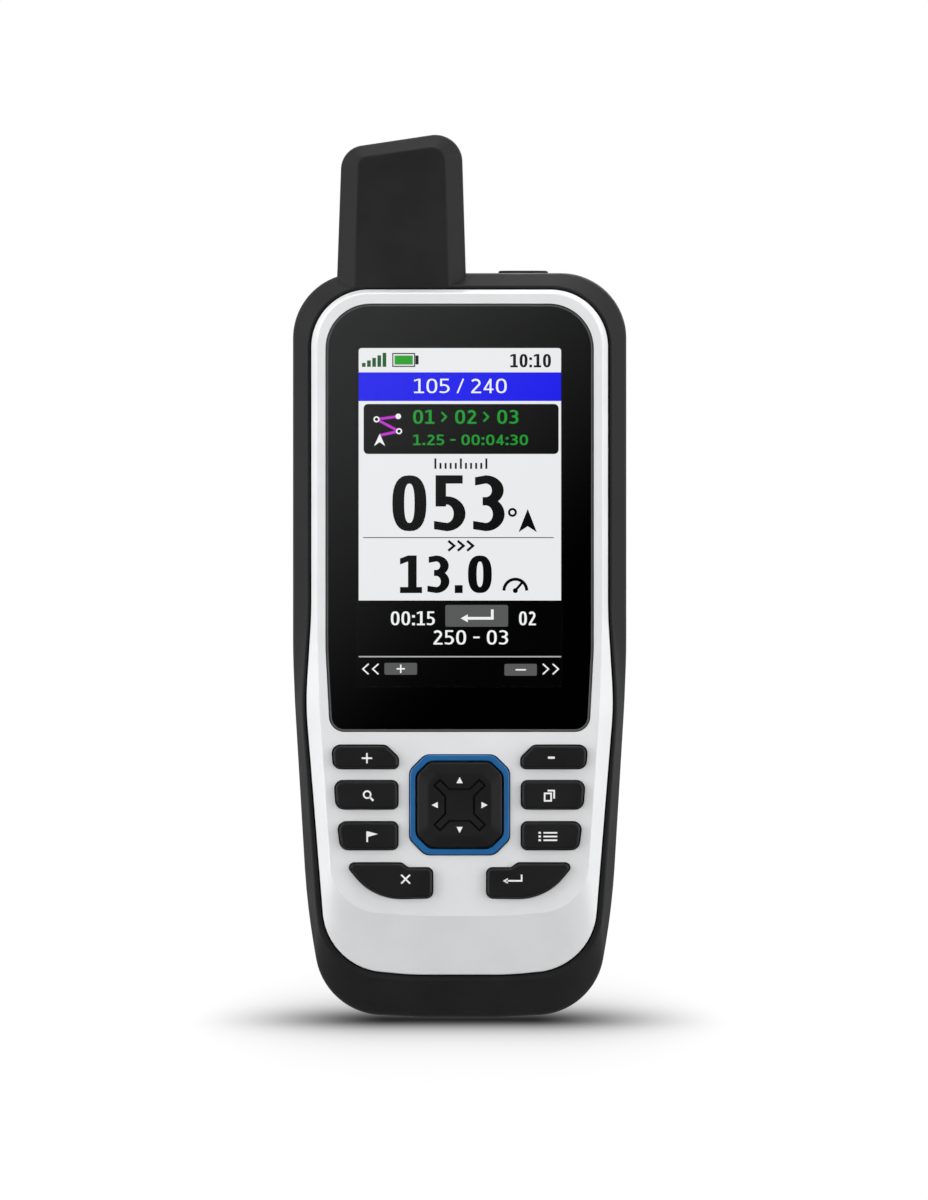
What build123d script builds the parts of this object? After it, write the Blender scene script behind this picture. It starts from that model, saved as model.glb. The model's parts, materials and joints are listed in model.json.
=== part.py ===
from build123d import *
import os

# Handheld satellite navigator. Millimetres, +Z up along its length, +X to the user's right.
# The display faces -Y. Depths are measured towards the user from the plane Y = 0, so a depth
# of 20 is Y = -20. Heights are measured from a datum level FOOT above the underside, and each
# finished piece is lifted by FOOT, so that the navigator stands on Z = 0.

# ---- driving dimensions -------------------------------------------------------------------
FOOT = 0.8
HALF_WIDTH = 33.85
BODY_TOP = 150.4
WALL = 2.2
FIT_GAP = 0.1

KEY_TOP = 21.8
ROCKER_TOP = 22.0
BEZEL_FACE = 20.6
BEZEL_RIM = 17.0
BEZEL_BACK = 16.5
WINDOW_FACE = 20.4
WINDOW_BACK = 18.8
DECK_FACE = 18.6
DECK_BACK = 16.5
LIP_FACE = 16.3
SHOULDER = 11.5
PARTING = -2.0
BACK_CREASE = -7.0
BACK_FACE = -15.5
BACK_INNER = BACK_FACE + WALL
RAIL_FACE = -22.0

LCD_FRONT = 18.4
LCD_MIDDLE = 16.4
LCD_BACK = 14.8
BOARD_FRONT = 13.4
BOARD_BACK = 12.2
DOME_FRONT = 13.9
MEMBRANE_FRONT = 16.5
MEMBRANE_BACK = 15.5

KEY_TRAVEL = 0.8
POWER_TRAVEL = 0.6

ROCKER_Z = 42.65
PIVOT_DEPTH = 17.3
PIVOT_RADIUS = 1.6
RING_SIZE = 20.1
RING_WIDTH = 1.15
RING_FACE = 21.0
PAD_SIZE = 17.2

# Half outlines from the bottom centre up the right side: (x, z, corner radius).
BODY_EDGE = [(7, -FOOT, 60), (27.3, 0.25, 13.8), (31, 22, 150), (33.45, 63, 150),
             (HALF_WIDTH, 73, 150), (HALF_WIDTH, BODY_TOP, 13.2)]
LIP_EDGE = [(10.4, 6.9, 60), (27.8, 8.4, 13.8), (29.1, 22, 100), (32, 63, 60),
            (30.85, 81, 100), (30.85, 147.6, 12.4)]
BEZEL_EDGE = [(10, 8.2, 60), (26.8, 9.8, 13), (31.1, 63, 60), (30, 81, 100), (30, 146.8, 11.6)]
FACE_EDGE = [(8, 20.2, 60), (25.6, 21.5, 10.5), (28.35, 62, 100), (28.9, 81, 100), (28.9, 146, 10.7)]
BACK_EDGE = [(10.5, 4.5, 60), (24.9, 5.6, 9.5), (26.1, 22, 100), (28.7, 63, 150),
             (29.1, 73, 150), (29.1, 145, 9.5)]
WINDOW_EDGE = [(26.1, 57.5, 3), (26.95, 74, 60), (26.95, 143.7, 9)]
DECK_INSET = 0.8

# Left-hand key outlines: (x, z, corner radius). The right-hand keys mirror them.
ZOOM_KEY = [(-25.65, 54.55, 1.5), (-14.95, 54.55, 1.6), (-12.5, 52.15, 1.2), (-12.5, 50.1, 0.9),
            (-25.3, 50.1, 1.5)]
FIND_KEY = [(-25.15, 47.4, 1.5), (-12.6, 47.4, 1.1), (-12.6, 41.95, 1.1), (-24.75, 41.95, 1.6)]
MARK_KEY = [(-24.55, 39.1, 1.5), (-12.6, 39.1, 1.1), (-12.6, 33.75, 1.1), (-23.85, 33.75, 1.6)]
QUIT_KEY = [(-22.95, 30.8, 0.8), (-11.8, 30.8, 1), (-10.45, 29.8, 1), (-5.6, 29.8, 1), (-5.6, 24, 1.2),
            (-17.2, 23.8, 11.5)]
KEYS = [
    ("zoom_in_key", "zoom_out_key", ZOOM_KEY, (-19.2, 52.3)),
    ("find_key", "page_key", FIND_KEY, (-18.6, 44.6)),
    ("mark_key", "menu_key", MARK_KEY, (-18.3, 36.4)),
    ("quit_key", "enter_key", QUIT_KEY, (-12.5, 27.4)),
]
KEY_GAP = 0.3
STEM_RADIUS = 1.5
FOOT_RADIUS = 2.2

# Screw places, as (x, z) seen from the front.
CASE_SCREWS = [(25.2, 138), (25.6, 78), (19.5, 15)]
BOARD_SCREWS = [(20.5, 140.2), (20.5, 60.6), (20.5, 24)]
BRACKET_SCREWS = [(22.5, 89.5)]
RAIL_SCREW_Z = [70, 95, 120]

# Antenna, in the front view.
ANTENNA_EDGE = [(-24.95, 147.35, 0), (1.35, 147.35, 0), (0.38, 179.25, 5.5), (-23.95, 175.6, 4.9)]
ANTENNA_FLAT = [(-21.3, 147.35, 0), (-2.2, 147.35, 0), (-3.0, 176.05, 3), (-20.6, 173.55, 2)]
ANTENNA_BACK = [(-22.8, 147.35, 0), (-0.8, 147.35, 0), (-1.7, 177, 4.2), (-21.9, 173.7, 3.5)]
ANTENNA_SHOULDER = 13
HELIX_X = -12
HELIX_DEPTH = 7.2
ANTENNA_SCREW_X = [-20, -3.4]

# Power button, on the top.
POWER_X = 12.95
POWER_DEPTH = 3.8
POWER_HOLE = (11.6, 6.6)

# Port door, on the back.
PORT_Z = 43
DOOR_WIDTH = 22
DOOR_LOW = 36.5
DOOR_PIN_Z = 50.4
DOOR_PIN_DEPTH = -14.4
DOOR_THICK = 2.0

EYE_Z = 14
EYE_DEPTH = -18.4
EYE_RADIUS = 2.2

os.makedirs("parts", exist_ok=True)


# ---- helpers ------------------------------------------------------------------------------
def save(piece, name):
    """Label one finished piece, stand it on its foot and write it."""
    standing = piece.moved(Location((0, 0, FOOT)))
    standing.label = name
    export_step(standing, "parts/" + name + ".step")


def outline(level, points):
    """Closed outline with a radius at each corner, on the front-facing plane at a depth."""
    with BuildSketch(Plane.XZ.offset(level)) as face:
        with BuildLine():
            FilletPolyline(*[(x, z) for x, z, r in points], radius=[r for x, z, r in points], close=True)
        make_face()
    return face.sketch


def mirrored(half):
    """The other half of an outline added to it, about the centre line."""
    return half + [(-x, z, r) for x, z, r in reversed(half)]


def body_outline(level, half, inset=0):
    """A left-right symmetric outline at a depth, pulled in all round by the inset."""
    face = outline(level, mirrored(half))
    if inset:
        face = offset(face, amount=-inset, mode=Mode.PRIVATE)
    return face


def flipped(points):
    """A left-hand outline moved to the right-hand side."""
    return [(-x, z, r) for x, z, r in reversed(points)]


def grown_outline(level, points, gap):
    """An outline opened all round by a running gap."""
    return offset(outline(level, points), amount=gap, mode=Mode.PRIVATE)


def both_sides(places):
    """Places on the right with their twins on the left."""
    return places + [(-x, z) for x, z in places]


def front_discs(level, places, radius):
    """Discs on the front-facing plane at a depth."""
    with BuildSketch(Plane.XZ.offset(level)) as discs:
        with Locations(*places):
            Circle(radius)
    return discs.sketch


def cut_square(level, size, corner, radius, z=ROCKER_Z):
    """A square with cut and rounded corners, round the rocker's centre."""
    with BuildSketch(Plane.XZ.offset(level)) as square:
        with Locations((0, z)):
            Rectangle(size, size)
        chamfer(square.vertices(), corner)
        fillet(square.vertices(), radius)
    return square.sketch


def key_shapes():
    """The outlines of all the keys, left ones and right ones."""
    left = [points for left_name, right_name, points, stem in KEYS]
    return left + [flipped(points) for points in left]


def at_depth(part, level):
    """The edges of a part that lie in the plane at a depth."""
    return part.edges().filter_by_position(Axis.Y, -level - 0.01, -level + 0.01)


# ---- front housing ------------------------------------------------------------------------
with BuildPart() as envelope:
    loft([body_outline(LIP_FACE, LIP_EDGE), body_outline(SHOULDER, BODY_EDGE),
          body_outline(PARTING, BODY_EDGE)], ruled=True)
    fillet(at_depth(envelope.part, SHOULDER), 2.6)
    fillet(at_depth(envelope.part, LIP_FACE), 0.4)

LIP_BACK = 14.3
SHELL_BEND = 10.0
DECK_WALL = 1.6
SHADOW_GROOVE = 0.35
SHADOW_DEPTH = 0.8
GASKET_HALF = 0.6
GASKET_BAND = (0.7, 1.5)
INSERT_RADIUS = 1.6
INSERT_LENGTH = 5
BOSS_RADIUS = 2.5
POST_RADIUS = 1.6
POWER_POST_REACH = 7.1
POWER_POST_LOW = 143.5
POWER_HOLE_RADIUS = 2.6
COAX_RADIUS = 0.6
ANTENNA_SEAT = (11, 11.6)
SEAT_HEIGHT = 1.5


def gasket_band(level):
    """The strip that the housing gasket fills, at a depth."""
    outer, inner = GASKET_BAND
    return body_outline(level, BODY_EDGE, outer) - body_outline(level, BODY_EDGE, inner)


with BuildPart() as front_housing:
    add(envelope.part)
    extrude(body_outline(LIP_FACE, FACE_EDGE, DECK_INSET), amount=DECK_FACE - LIP_FACE)
    # narrow groove round the bezel
    extrude(body_outline(LIP_FACE, BEZEL_EDGE, -SHADOW_GROOVE) - body_outline(LIP_FACE, BEZEL_EDGE, 0.2),
            amount=-SHADOW_DEPTH, mode=Mode.SUBTRACT)
    extrude(body_outline(PARTING, BODY_EDGE, WALL), amount=SHELL_BEND - PARTING, mode=Mode.SUBTRACT)
    extrude(body_outline(SHELL_BEND, LIP_EDGE, WALL), amount=LIP_BACK - SHELL_BEND, mode=Mode.SUBTRACT)
    extrude(body_outline(LIP_BACK, FACE_EDGE, DECK_INSET + DECK_WALL), amount=DECK_BACK - LIP_BACK,
            mode=Mode.SUBTRACT)
    # bosses for the case screws and posts for the main board
    extrude(front_discs(PARTING, both_sides(CASE_SCREWS), BOSS_RADIUS), amount=LIP_BACK - PARTING)
    extrude(front_discs(BOARD_FRONT, both_sides(BOARD_SCREWS), POST_RADIUS), amount=DECK_BACK - BOARD_FRONT)
    extrude(front_discs(PARTING, both_sides(CASE_SCREWS), INSERT_RADIUS), amount=INSERT_LENGTH + 1,
            mode=Mode.SUBTRACT)
    extrude(front_discs(BOARD_FRONT, both_sides(BOARD_SCREWS), 0.8), amount=2.6, mode=Mode.SUBTRACT)
    # display opening, key openings and rocker opening in the deck
    with BuildSketch(Plane.XZ.offset(DECK_BACK)):
        with Locations((0, 100.9)):
            RectangleRounded(44.8, 73.6, 1)
    extrude(amount=DECK_FACE - DECK_BACK, mode=Mode.SUBTRACT)
    for points in key_shapes():
        extrude(grown_outline(DECK_BACK, points, KEY_GAP + 0.05), amount=3, mode=Mode.SUBTRACT)
    extrude(cut_square(DECK_BACK, PAD_SIZE + 0.6, 2.6, 1), amount=3, mode=Mode.SUBTRACT)
    # power button opening through the top wall
    with BuildSketch(Plane.XY.offset(BODY_TOP - WALL - 1)):
        with Locations((POWER_X, -POWER_DEPTH)):
            RectangleRounded(*POWER_HOLE, POWER_HOLE_RADIUS)
    extrude(amount=6, mode=Mode.SUBTRACT)
    # raised seat for the antenna board, with its coax hole and seal groove
    with BuildSketch(Plane.XY.offset(BODY_TOP - 1)):
        with Locations((HELIX_X, -HELIX_DEPTH)):
            Rectangle(*ANTENNA_SEAT)
    extrude(amount=SEAT_HEIGHT + 1)
    with BuildSketch(Plane.XY.offset(BODY_TOP + SEAT_HEIGHT - 0.5)):
        with Locations((HELIX_X, -HELIX_DEPTH)):
            Circle(4.3)
            Circle(2.9, mode=Mode.SUBTRACT)
    extrude(amount=0.5, mode=Mode.SUBTRACT)
    with BuildSketch(Plane.XY.offset(BODY_TOP - WALL)):
        with Locations((HELIX_X, -HELIX_DEPTH)):
            Circle(1.4)
        with Locations(*[(x, -HELIX_DEPTH) for x in ANTENNA_SCREW_X]):
            Circle(1.2)
    extrude(amount=6, mode=Mode.SUBTRACT)
    with BuildSketch(Plane.XY.offset(BODY_TOP - WALL)):
        with Locations(*[(x, -HELIX_DEPTH) for x in ANTENNA_SCREW_X]):
            Circle(2.2)
    extrude(amount=-3, mode=Mode.SUBTRACT)
    # posts that carry the power switch board
    with BuildSketch(Plane.XY.offset(POWER_POST_LOW)):
        with Locations((POWER_X, -POWER_DEPTH)):
            with GridLocations(2 * POWER_POST_REACH, 0, 2, 1):
                Circle(0.9)
    extrude(amount=BODY_TOP - WALL - POWER_POST_LOW + 0.5)
    # half of the gasket groove
    extrude(gasket_band(PARTING), amount=GASKET_HALF, mode=Mode.SUBTRACT)
save(front_housing.part, "front_housing")


# ---- rear housing -------------------------------------------------------------------------
REAR_BOSS_RADIUS = 3.2
HEAD_RADIUS = 2.2
HEAD_FRONT = -12.6
WELL = (11, 7)
WELL_INNER = -3.0
POCKET_FLOOR = BACK_FACE + DOOR_THICK + 0.15

with BuildPart() as rear_housing:
    loft([body_outline(PARTING, BODY_EDGE), body_outline(BACK_CREASE, BODY_EDGE),
          body_outline(BACK_FACE, BACK_EDGE)], ruled=True)
    fillet(at_depth(rear_housing.part, BACK_CREASE), 5)
    fillet(at_depth(rear_housing.part, BACK_FACE), 2.5)
    # hollow, in two steps that follow the tapered back
    extrude(body_outline(PARTING, BODY_EDGE, WALL), amount=BACK_CREASE - 0.5 - PARTING, mode=Mode.SUBTRACT)
    extrude(body_outline(BACK_CREASE, BACK_EDGE, WALL), amount=BACK_INNER - BACK_CREASE, mode=Mode.SUBTRACT)
    # pillars for the case screws, bosses for the battery bracket and the rail
    extrude(front_discs(BACK_INNER - 0.5, both_sides(CASE_SCREWS), REAR_BOSS_RADIUS),
            amount=PARTING - BACK_INNER + 0.5)
    extrude(front_discs(BACK_INNER - 0.5, both_sides(BRACKET_SCREWS), 2.2), amount=3.4)
    extrude(front_discs(BACK_INNER - 0.5, [(0, z) for z in RAIL_SCREW_Z], 2.8), amount=3)
    # floor of the port pocket and the walls of its well
    with BuildSketch(Plane.XZ.offset(POCKET_FLOOR)):
        with Locations((0, 44.2)):
            Rectangle(28, 19.5)
    extrude(amount=WALL)
    with BuildSketch(Plane.XZ.offset(POCKET_FLOOR + 1)):
        with Locations((0, PORT_Z)):
            RectangleRounded(WELL[0] + 2.8, WELL[1] + 2.8, 2)
    extrude(amount=WELL_INNER - POCKET_FLOOR - 1)
    with BuildSketch(Plane.XZ.offset(WELL_INNER)):
        with Locations((0, PORT_Z)):
            RectangleRounded(*WELL, 1)
    extrude(amount=-14, mode=Mode.SUBTRACT)
    # door pocket, with a trough for the hinge at its top
    with BuildSketch(Plane.XZ.offset(POCKET_FLOOR)):
        with Locations((0, (DOOR_LOW + DOOR_PIN_Z) / 2 - 0.2)):
            RectangleRounded(DOOR_WIDTH + 0.6, DOOR_PIN_Z - DOOR_LOW + 0.6, 1)
        with Locations((0, DOOR_PIN_Z)):
            Rectangle(DOOR_WIDTH + 0.6, 3.3)
    extrude(amount=-4, mode=Mode.SUBTRACT)
    with BuildSketch(Plane.XZ.offset(BACK_FACE)):
        with Locations((0, DOOR_LOW - 0.4)):
            SlotOverall(9, 3)
    extrude(amount=POCKET_FLOOR - BACK_FACE, mode=Mode.SUBTRACT)
    with BuildSketch(Plane.YZ.offset(-DOOR_WIDTH / 2 - 0.3)):
        with Locations((-DOOR_PIN_DEPTH, DOOR_PIN_Z)):
            Circle(1.65)
    extrude(amount=DOOR_WIDTH + 0.6, mode=Mode.SUBTRACT)
    with BuildSketch(Plane.YZ.offset(-DOOR_WIDTH / 2 - 2)):
        with Locations((-DOOR_PIN_DEPTH, DOOR_PIN_Z)):
            Circle(0.6)
    extrude(amount=DOOR_WIDTH + 4, mode=Mode.SUBTRACT)
    # screw holes and their counterbores
    extrude(front_discs(BACK_FACE - 1, both_sides(CASE_SCREWS), 1.4), amount=16, mode=Mode.SUBTRACT)
    extrude(front_discs(BACK_FACE - 1, both_sides(CASE_SCREWS), HEAD_RADIUS + 0.2),
            amount=HEAD_FRONT - BACK_FACE + 1, mode=Mode.SUBTRACT)
    extrude(front_discs(BACK_INNER + 0.4, both_sides(BRACKET_SCREWS), 0.9), amount=4, mode=Mode.SUBTRACT)
    extrude(front_discs(BACK_FACE - 1, [(0, z) for z in RAIL_SCREW_Z], 1.3), amount=5.5, mode=Mode.SUBTRACT)
    # breather hole and its inner seat
    extrude(front_discs(BACK_FACE - 1, [(-16, 32)], 0.8), amount=4, mode=Mode.SUBTRACT)
    # socket for the lanyard eye
    with BuildSketch(Plane.XZ.offset(BACK_FACE)):
        with Locations((0, EYE_Z)):
            RectangleRounded(6.2, 9.2, 1)
    extrude(amount=1, mode=Mode.SUBTRACT)
    # the other half of the gasket groove
    extrude(gasket_band(PARTING), amount=-GASKET_HALF, mode=Mode.SUBTRACT)
save(rear_housing.part, "rear_housing")

with BuildPart() as housing_gasket:
    extrude(gasket_band(PARTING - GASKET_HALF), amount=2 * GASKET_HALF)
save(housing_gasket.part, "housing_gasket")


# ---- bezel and window ---------------------------------------------------------------------
WINDOW_GAP = 0.15
RING_GAP = 0.18
RING_CUT = 3.2
RING_ROUND = 2.4

with BuildPart() as front_bezel:
    loft([body_outline(BEZEL_RIM, BEZEL_EDGE), body_outline(BEZEL_FACE, FACE_EDGE)], ruled=True)
    extrude(body_outline(BEZEL_BACK, BEZEL_EDGE), amount=BEZEL_RIM - BEZEL_BACK)
    fillet(at_depth(front_bezel.part, BEZEL_FACE), 0.35)
    fillet(at_depth(front_bezel.part, BEZEL_RIM), 0.4)
    extrude(body_outline(BEZEL_BACK, FACE_EDGE, DECK_INSET - FIT_GAP), amount=DECK_FACE - BEZEL_BACK,
            mode=Mode.SUBTRACT)
    extrude(body_outline(DECK_FACE, WINDOW_EDGE, -WINDOW_GAP), amount=5, mode=Mode.SUBTRACT)
    for points in key_shapes():
        extrude(grown_outline(DECK_FACE, points, KEY_GAP), amount=5, mode=Mode.SUBTRACT)
    extrude(cut_square(DECK_FACE, RING_SIZE + 2 * RING_GAP, RING_CUT, RING_ROUND), amount=5,
            mode=Mode.SUBTRACT)
save(front_bezel.part, "front_bezel")

with BuildPart() as window_adhesive_frame:
    extrude(body_outline(DECK_FACE, WINDOW_EDGE, 0.4), amount=WINDOW_BACK - DECK_FACE)
    with BuildSketch(Plane.XZ.offset(DECK_FACE)):
        with Locations((0, 100.85)):
            RectangleRounded(41.8, 69.1, 0.5)
    extrude(amount=1, mode=Mode.SUBTRACT)
save(window_adhesive_frame.part, "window_adhesive_frame")

with BuildPart() as display_window:
    extrude(body_outline(WINDOW_BACK, WINDOW_EDGE), amount=WINDOW_FACE - WINDOW_BACK)
    chamfer(at_depth(display_window.part, WINDOW_FACE), 0.4)
save(display_window.part, "display_window")


# ---- display ------------------------------------------------------------------------------
def plate(level, thick, width, height, z, radius=0.4, x=0):
    """A plain rounded plate facing the user, its back at a depth."""
    with BuildPart() as slab:
        with BuildSketch(Plane.XZ.offset(level)):
            with Locations((x, z)):
                RectangleRounded(width, height, radius)
        extrude(amount=thick)
    return slab.part


LCD_Z = 100.9
save(plate(LCD_MIDDLE, LCD_FRONT - LCD_MIDDLE, 44, 72.6, LCD_Z), "lcd_panel")
save(plate(LCD_BACK, LCD_MIDDLE - LCD_BACK, 43.6, 72.2, LCD_Z), "lcd_backlight")

with BuildPart() as lcd_bracket:
    with BuildSketch(Plane.XZ.offset(BOARD_FRONT)):
        with Locations((0, LCD_Z)):
            with GridLocations(38, 66, 2, 2):
                Rectangle(4, 4)
    extrude(amount=0.6)
    with BuildSketch(Plane.XZ.offset(BOARD_FRONT + 0.6)):
        with Locations((0, LCD_Z)):
            RectangleRounded(44.6, 73.2, 0.6)
    extrude(amount=LCD_MIDDLE - 0.4 - BOARD_FRONT - 0.6)
    with BuildSketch(Plane.XZ.offset(LCD_BACK)):
        with Locations((0, LCD_Z)):
            Rectangle(43.8, 72.4)
    extrude(amount=3, mode=Mode.SUBTRACT)
    with BuildSketch(Plane.XZ.offset(LCD_BACK)):
        with Locations((0, 65)):
            Rectangle(13, 4)
    extrude(amount=3, mode=Mode.SUBTRACT)
save(lcd_bracket.part, "lcd_bracket")


with BuildPart() as lcd_flex:
    with BuildSketch(Plane.YZ.offset(-5)):
        Polygon((-16.0, 64.75), (-15.7, 64.75), (-15.7, 62.9), (-13.7, 62.9), (-13.7, 58.6),
                (-14.0, 58.6), (-14.0, 62.6), (-16.0, 62.6), align=None)
    extrude(amount=10)
    with BuildSketch(Plane.XZ.offset(BOARD_FRONT)):
        with Locations((0, 59.4)):
            Rectangle(12, 1.8)
    extrude(amount=0.3)
save(lcd_flex.part, "lcd_flex")


# ---- keypad -------------------------------------------------------------------------------
STEM_PLACES = both_sides([stem for left_name, right_name, points, stem in KEYS])
DOME_REACH = 6
with BuildPart() as keypad_membrane:
    extrude(body_outline(MEMBRANE_BACK, FACE_EDGE, DECK_INSET + DECK_WALL + 0.3),
            amount=MEMBRANE_FRONT - MEMBRANE_BACK)
    with BuildSketch(Plane.XZ.offset(MEMBRANE_BACK)):
        with Locations((0, 39)):
            Rectangle(60, 37.6)
        with Locations(*both_sides(BOARD_SCREWS)):
            Circle(POST_RADIUS + 0.4, mode=Mode.SUBTRACT)
        with Locations(*STEM_PLACES):
            Circle(STEM_RADIUS + 0.3, mode=Mode.SUBTRACT)
        with Locations((0, ROCKER_Z)):
            Circle(3.5, mode=Mode.SUBTRACT)
            with PolarLocations(DOME_REACH, 4):
                Circle(1.3, mode=Mode.SUBTRACT)
    extrude(amount=MEMBRANE_FRONT - MEMBRANE_BACK, mode=Mode.INTERSECT)
save(keypad_membrane.part, "keypad_membrane")

with BuildPart() as switch_domes:
    with BuildSketch(Plane.XZ.offset(BOARD_FRONT)):
        with Locations(*STEM_PLACES):
            Circle(2.3)
        with Locations((0, ROCKER_Z)):
            with PolarLocations(DOME_REACH, 4):
                Circle(2)
    extrude(amount=DOME_FRONT - BOARD_FRONT)
    fillet(at_depth(switch_domes.part, DOME_FRONT), 0.35)
save(switch_domes.part, "switch_domes")

CAP_BACK = 17.5
STEM_BACK = DOME_FRONT + KEY_TRAVEL + 0.3
FOOT_PAD = 0.1


def key(points, stem):
    """One key: its cap, the stem through the membrane, and the foot that keeps it in."""
    with BuildPart() as cap:
        extrude(outline(CAP_BACK, points), amount=KEY_TOP - CAP_BACK)
        fillet(at_depth(cap.part, KEY_TOP), 0.55)
        extrude(front_discs(STEM_BACK, [stem], STEM_RADIUS), amount=CAP_BACK - STEM_BACK)
        extrude(front_discs(STEM_BACK - FOOT_PAD, [stem], FOOT_RADIUS), amount=0.3)
    return cap.part


for left_name, right_name, points, stem in KEYS:
    save(key(points, stem), left_name)
    save(key(flipped(points), (-stem[0], stem[1])), right_name)


# ---- rocker -------------------------------------------------------------------------------
with BuildPart() as rocker_trim_ring:
    extrude(cut_square(DECK_FACE, RING_SIZE, RING_CUT, RING_ROUND), amount=RING_FACE - DECK_FACE)
    extrude(cut_square(DECK_FACE, RING_SIZE - 2 * RING_WIDTH, 2.75, 2.2), amount=5, mode=Mode.SUBTRACT)
    fillet(at_depth(rocker_trim_ring.part, RING_FACE), 0.25)
save(rocker_trim_ring.part, "rocker_trim_ring")

PAD_BACK = 18.9
PAD_RIM = 21.3
PAD_CUT = 2.55
PAD_ROUND = 2.2
PAD_FLAT = 12.6
NUB_BACK = 14.35
CROSS_HIGH = 6.0
CROSS_WIDE = 5.4
CROSS_REACH = 12.4
CROSS_ARM = 1.2
CROSS_LINE = 0.4
CROSS_DEPTH = 0.7


def cross(level, grown=0):
    """A square with four diagonal arms round the rocker's centre, opened out all round."""
    with BuildSketch(Plane.XZ.offset(level)) as face:
        with Locations((0, ROCKER_Z)):
            Rectangle(CROSS_WIDE + 2 * grown, CROSS_HIGH + 2 * grown)
            Rectangle(CROSS_REACH + 2 * grown, CROSS_ARM + 2 * grown, rotation=45)
            Rectangle(CROSS_REACH + 2 * grown, CROSS_ARM + 2 * grown, rotation=-45)
    return face.sketch


with BuildPart() as rocker_cap:
    extrude(cut_square(PAD_BACK, PAD_SIZE, PAD_CUT, PAD_ROUND), amount=PAD_RIM - PAD_BACK)
    loft([cut_square(PAD_RIM, PAD_SIZE, PAD_CUT, PAD_ROUND), cut_square(ROCKER_TOP, PAD_FLAT, 1.9, 1.6)],
         ruled=True)
    fillet(at_depth(rocker_cap.part, ROCKER_TOP), 1.5)
    fillet(at_depth(rocker_cap.part, PAD_RIM), 0.5)
    # moulded line round the cross in the middle
    extrude(cross(ROCKER_TOP - CROSS_DEPTH, CROSS_LINE) - cross(ROCKER_TOP - CROSS_DEPTH), amount=3,
            mode=Mode.SUBTRACT)
    # boss over the pivot, and the nubs that press the domes
    with BuildSketch(Plane.XZ.offset(PIVOT_DEPTH + 0.2)):
        with Locations((0, ROCKER_Z)):
            Rectangle(5.2, 5.2)
    extrude(amount=PAD_BACK - PIVOT_DEPTH - 0.2)
    with BuildSketch(Plane.XZ.offset(NUB_BACK)):
        with Locations((0, ROCKER_Z)):
            with PolarLocations(DOME_REACH, 4):
                Circle(0.8)
    extrude(amount=PAD_BACK - NUB_BACK)
    with BuildSketch(Plane.YZ.offset(-2.1)):
        with Locations((-PIVOT_DEPTH, ROCKER_Z)):
            Circle(PIVOT_RADIUS + 0.05)
    extrude(amount=4.2, mode=Mode.SUBTRACT)
save(rocker_cap.part, "rocker_cap")

with BuildPart() as rocker_pivot:
    with BuildSketch(Plane.YZ.offset(-2)):
        with Locations((-PIVOT_DEPTH, ROCKER_Z)):
            Circle(PIVOT_RADIUS)
            with Locations((2, 0)):
                Rectangle(4, 4, mode=Mode.SUBTRACT)
    extrude(amount=4)
    with BuildSketch(Plane.XY.offset(ROCKER_Z - 2)):
        with Locations((0, -PIVOT_DEPTH)):
            Circle(PIVOT_RADIUS)
            with Locations((0, -2)):
                Rectangle(4, 4, mode=Mode.SUBTRACT)
    extrude(amount=4)
save(rocker_pivot.part, "rocker_pivot")

with BuildPart() as rocker_post:
    with BuildSketch(Plane.XZ.offset(BOARD_FRONT)):
        with Locations((0, ROCKER_Z)):
            Circle(3.2)
    extrude(amount=PIVOT_DEPTH - 0.2 - BOARD_FRONT)
    with BuildSketch(Plane.XY.offset(ROCKER_Z - 2.1)):
        with Locations((0, -PIVOT_DEPTH)):
            Circle(PIVOT_RADIUS + 0.05)
    extrude(amount=4.2, mode=Mode.SUBTRACT)
save(rocker_post.part, "rocker_post")


# ---- main board and what it carries -------------------------------------------------------
with BuildPart() as main_board:
    with BuildSketch(Plane.XZ.offset(BOARD_BACK)):
        with Locations((0, 82)):
            RectangleRounded(45, 120, 2)
        with Locations(*both_sides(BOARD_SCREWS)):
            Circle(1.1, mode=Mode.SUBTRACT)
    extrude(amount=BOARD_FRONT - BOARD_BACK)
save(main_board.part, "main_board")

with BuildPart() as shield_cans:
    with BuildSketch(Plane.XZ.offset(BOARD_BACK)):
        with Locations((0, 131)):
            Rectangle(16, 11)
        with Locations((0, 36)):
            Rectangle(26, 18)
    extrude(amount=-2)
    fillet(shield_cans.part.edges().filter_by(Axis.Y), 0.6)
save(shield_cans.part, "shield_cans")

with BuildPart() as board_screws:
    extrude(front_discs(BOARD_BACK, both_sides(BOARD_SCREWS), 1.6), amount=-1)
    extrude(front_discs(BOARD_BACK, both_sides(BOARD_SCREWS), 0.75), amount=3.4)
save(board_screws.part, "board_screws")

with BuildPart() as beeper:
    extrude(front_discs(BOARD_BACK, [(15, 131)], 4.5), amount=-3)
    extrude(front_discs(BOARD_BACK - 3, [(15, 131)], 0.8), amount=0.8, mode=Mode.SUBTRACT)
save(beeper.part, "beeper")


# ---- battery ------------------------------------------------------------------------------
BATTERY_FRONT = 9.0
BATTERY_BACK = -9.6
BATTERY_LOW = 55.5
BATTERY_HIGH = 122.5
with BuildPart() as battery_pack:
    with BuildSketch(Plane.XY.offset(BATTERY_LOW)):
        with Locations((0, -(BATTERY_FRONT + BATTERY_BACK) / 2)):
            SlotOverall(37, BATTERY_FRONT - BATTERY_BACK)
    extrude(amount=BATTERY_HIGH - BATTERY_LOW)
    fillet(battery_pack.part.edges().group_by(Axis.Z)[0], 0.8)
    fillet(battery_pack.part.edges().group_by(Axis.Z)[-1], 0.8)
save(battery_pack.part, "battery_pack")

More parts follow.
